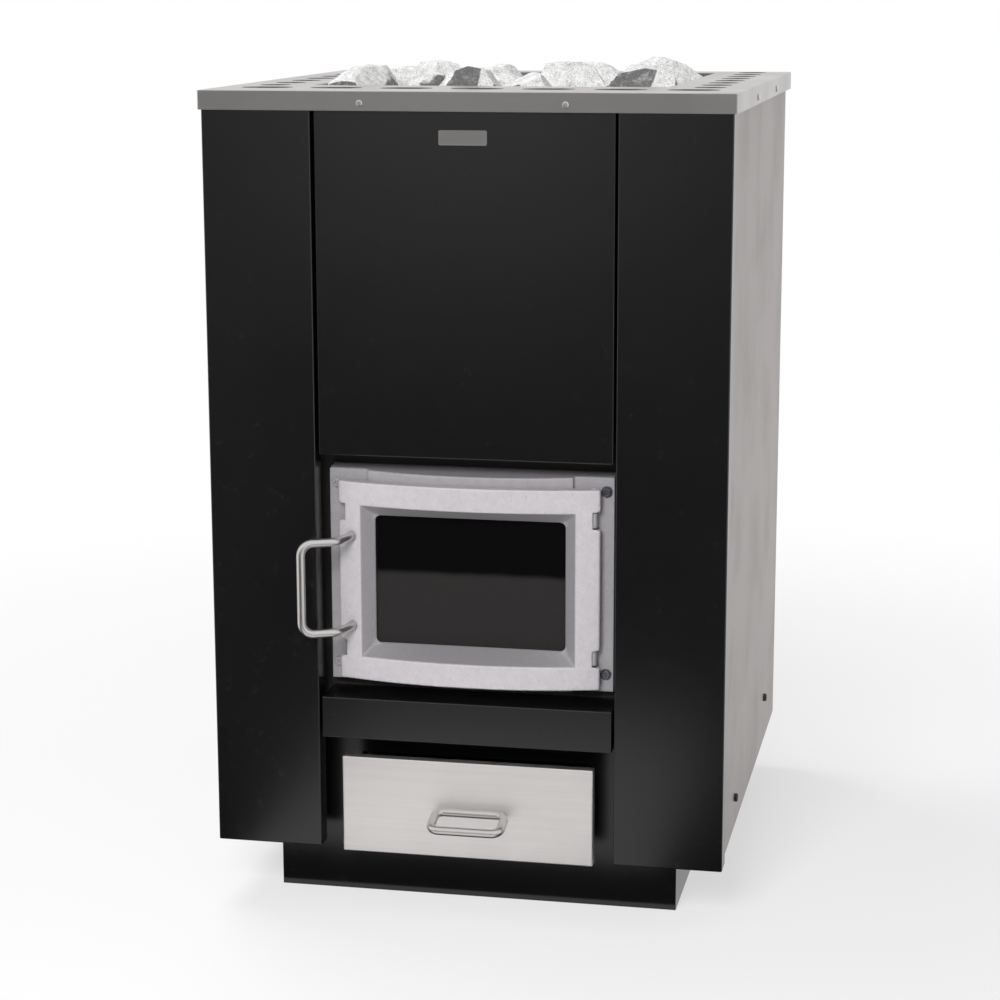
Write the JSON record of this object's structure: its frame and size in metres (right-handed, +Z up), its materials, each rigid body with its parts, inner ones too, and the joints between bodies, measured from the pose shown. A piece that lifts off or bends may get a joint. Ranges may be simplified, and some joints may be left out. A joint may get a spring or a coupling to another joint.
{
  "type": "wood-burning sauna heater",
  "caption": "Free-standing wood-burning sauna heater: stones in a vented top frame, bowed cast fire door with a window, and an ash drawer, in a black and stainless casing.",
  "frame": {"origin": "on the floor, under the middle of the casing", "axes": "+Z up, -Y out of the front with the door and the drawer, +X to the right seen from the front"},
  "size_m": [0.605, 0.714, 0.9671],
  "materials": {
    "black_paint": "satin",
    "stainless": "satin",
    "bright_rod": "polished",
    "silver_casting": "matte",
    "dark_steel": "satin",
    "grate_iron": "matte",
    "soot_glass": "gloss",
    "gasket": "matte",
    "stone": "matte"
  },
  "bodies": {
    "stove": {"base_plinth": "black_paint", "firebox": "black_paint", "fire_grate": "grate_iron", "flue_spigot": "dark_steel", "left_drawer_runner": "dark_steel", "right_drawer_runner": "dark_steel", "left_front_column": "black_paint", "right_front_column": "black_paint", "left_side_panel": "stainless", "right_side_panel": "stainless", "left_casing_bracket": "dark_steel", "right_casing_bracket": "dark_steel", "back_panel": "stainless", "upper_front_panel": "black_paint", "lower_front_rail": "black_paint", "name_plate": "stainless", "top_frame": "stainless", "front_skirt_screw_left": "bright_rod", "front_skirt_screw_right": "bright_rod", "left_skirt_screw_front": "bright_rod", "left_skirt_screw_rear": "bright_rod", "right_skirt_screw_front": "bright_rod", "right_skirt_screw_rear": "bright_rod", "left_panel_screw_front": "dark_steel", "left_panel_screw_rear": "dark_steel", "right_panel_screw_front": "dark_steel", "right_panel_screw_rear": "dark_steel", "door_collar": "silver_casting", "lower_hinge_pin": "dark_steel", "upper_hinge_pin": "dark_steel", "collar_screw_upper_left": "dark_steel", "collar_screw_lower_left": "dark_steel", "collar_screw_upper_right": "dark_steel", "collar_screw_lower_right": "dark_steel", "stone_bin": "dark_steel", "lower_stones": "stone", "stone_01": "stone", "stone_02": "stone", "stone_03": "stone", "stone_04": "stone", "stone_05": "stone", "stone_06": "stone", "stone_07": "stone", "stone_08": "stone", "stone_09": "stone", "stone_10": "stone", "stone_11": "stone", "stone_12": "stone"},
    "door": {"door_frame": "silver_casting", "door_glass": "soot_glass", "glass_gasket": "gasket", "upper_glass_clip": "dark_steel", "lower_glass_clip": "dark_steel", "door_handle": "bright_rod", "upper_handle_nut": "dark_steel", "lower_handle_nut": "dark_steel"},
    "ash_drawer": {"ash_drawer_box": "dark_steel", "ash_drawer_front": "stainless", "ash_drawer_handle": "bright_rod"}
  },
  "joints": [
    {"name": "door_hinge", "type": "hinge", "parent": "stove", "child": "door", "pos_m": [0.143, -0.29617, 0.3878], "axis": [0, 0, 1], "range_deg": [0, 100]},
    {"name": "drawer_slide", "type": "slide", "parent": "stove", "child": "ash_drawer", "axis": [0, -1, 0], "range_m": [0, 0.4]}
  ]
}
